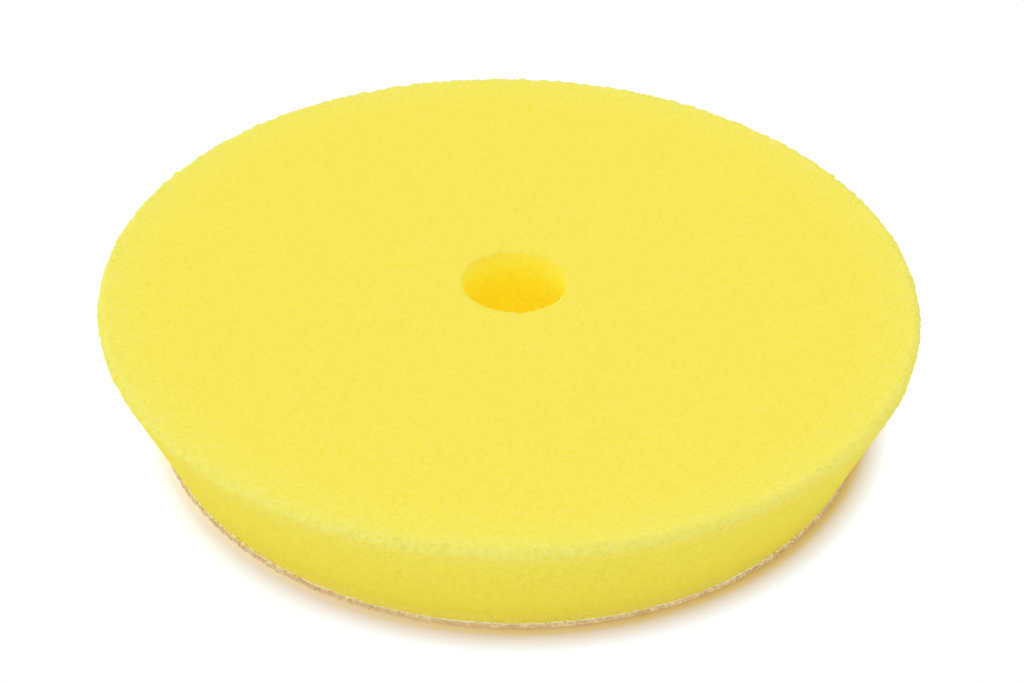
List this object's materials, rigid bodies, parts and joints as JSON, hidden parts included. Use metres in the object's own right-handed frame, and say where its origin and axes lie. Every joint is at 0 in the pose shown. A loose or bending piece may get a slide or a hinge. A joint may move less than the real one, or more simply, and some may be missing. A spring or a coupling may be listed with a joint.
{
  "type": "polishing pad",
  "caption": "Tapered open-cell foam polishing disc with a rounded working edge, a centre hole and a hook-and-loop backing on its small face.",
  "frame": {"origin": "on the pad's axis, in the plane of the loop pile's underside that the pad lies on", "axes": "+Z along the pad's axis from the loop backing towards the working face; X and Y are any two directions across the round pad"},
  "size_m": [0.165, 0.165, 0.0272],
  "materials": {
    "foam": "matte",
    "adhesive": "satin",
    "ground_fabric": "matte",
    "pile": "matte"
  },
  "bodies": {
    "root": {"foam_disc": "foam", "adhesive_film": "adhesive", "loop_ground_fabric": "ground_fabric", "loop_pile": "pile"}
  },
  "joints": []
}
